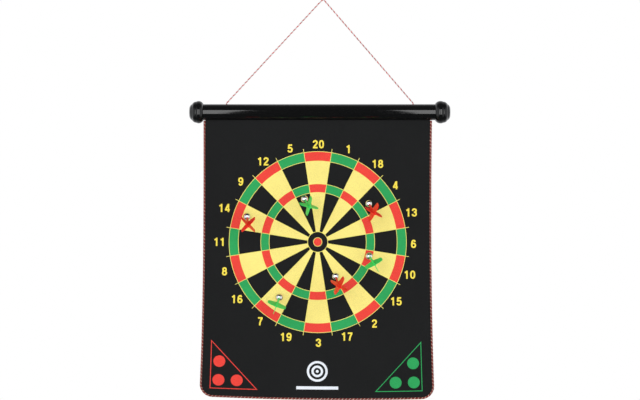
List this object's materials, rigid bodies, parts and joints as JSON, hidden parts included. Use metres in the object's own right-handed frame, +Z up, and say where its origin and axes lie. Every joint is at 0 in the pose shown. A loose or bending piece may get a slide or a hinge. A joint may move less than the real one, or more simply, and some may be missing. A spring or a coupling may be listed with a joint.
{
  "type": "magnetic dartboard",
  "caption": "Roll-up magnetic dartboard: a soft printed mat hung from a capped tube on a string, with magnetic darts that pull off.",
  "frame": {"origin": "axis of the nail that the string hangs over", "axes": "+Z up, +Y from the player towards the wall, +X to the player's right"},
  "size_m": [0.4092, 0.083, 0.6267],
  "materials": {
    "tube_plastic": "glossy black moulded plastic",
    "cap_plastic": "glossy black moulded plastic",
    "printed_flock": "black flock cloth with a printed target",
    "magnetic_rubber": "dull flexible sheet filled with iron powder",
    "back_flock": "plain black flock cloth",
    "edge_thread": "red and cream sewing thread",
    "strip_plastic": "plain extruded plastic",
    "rivet_metal": "bright",
    "string_thread": "red and white twisted string",
    "magnet_metal": "nickel plated",
    "chromed_steel": "polished chrome",
    "red_plastic": "slightly clear red moulded plastic",
    "green_plastic": "slightly clear green moulded plastic"
  },
  "bodies": {
    "string": {"hanging_string": "string_thread"},
    "board": {"hanging_tube": "tube_plastic", "end_cap_left": "cap_plastic", "end_cap_right": "cap_plastic", "front_cloth": "printed_flock", "magnetic_core": "magnetic_rubber", "back_cloth": "back_flock", "edge_stitching": "edge_thread", "retaining_strip": "strip_plastic", "strip_rivets": "rivet_metal", "string_knot_left": "string_thread", "string_knot_right": "string_thread"},
    "red_dart_1": {"red_dart_1_ball": "chromed_steel", "red_dart_1_magnet": "magnet_metal", "red_dart_1_flight": "red_plastic"},
    "red_dart_2": {"red_dart_2_ball": "chromed_steel", "red_dart_2_magnet": "magnet_metal", "red_dart_2_flight": "red_plastic"},
    "red_dart_3": {"red_dart_3_ball": "chromed_steel", "red_dart_3_magnet": "magnet_metal", "red_dart_3_flight": "red_plastic"},
    "green_dart_1": {"green_dart_1_ball": "chromed_steel", "green_dart_1_magnet": "magnet_metal", "green_dart_1_flight": "green_plastic"},
    "green_dart_2": {"green_dart_2_ball": "chromed_steel", "green_dart_2_magnet": "magnet_metal", "green_dart_2_flight": "green_plastic"},
    "green_dart_3": {"green_dart_3_ball": "chromed_steel", "green_dart_3_magnet": "magnet_metal", "green_dart_3_flight": "green_plastic"}
  },
  "joints": [
    {"name": "board_swing", "type": "hinge", "parent": "string", "child": "board", "pos_m": [-0.005, 0, -0.159], "axis": [-1, 0, 0], "range_deg": [-5, 80]},
    {"name": "red_dart_1_pull", "type": "slide", "parent": "board", "child": "red_dart_1", "axis": [0, -1, 0], "range_m": [0, 0.08]},
    {"name": "red_dart_2_pull", "type": "slide", "parent": "board", "child": "red_dart_2", "axis": [0, -1, 0], "range_m": [0, 0.08]},
    {"name": "red_dart_3_pull", "type": "slide", "parent": "board", "child": "red_dart_3", "axis": [0, -1, 0], "range_m": [0, 0.08]},
    {"name": "green_dart_1_pull", "type": "slide", "parent": "board", "child": "green_dart_1", "axis": [0, -1, 0], "range_m": [0, 0.08]},
    {"name": "green_dart_2_pull", "type": "slide", "parent": "board", "child": "green_dart_2", "axis": [0, -1, 0], "range_m": [0, 0.08]},
    {"name": "green_dart_3_pull", "type": "slide", "parent": "board", "child": "green_dart_3", "axis": [0, -1, 0], "range_m": [0, 0.08]}
  ]
}
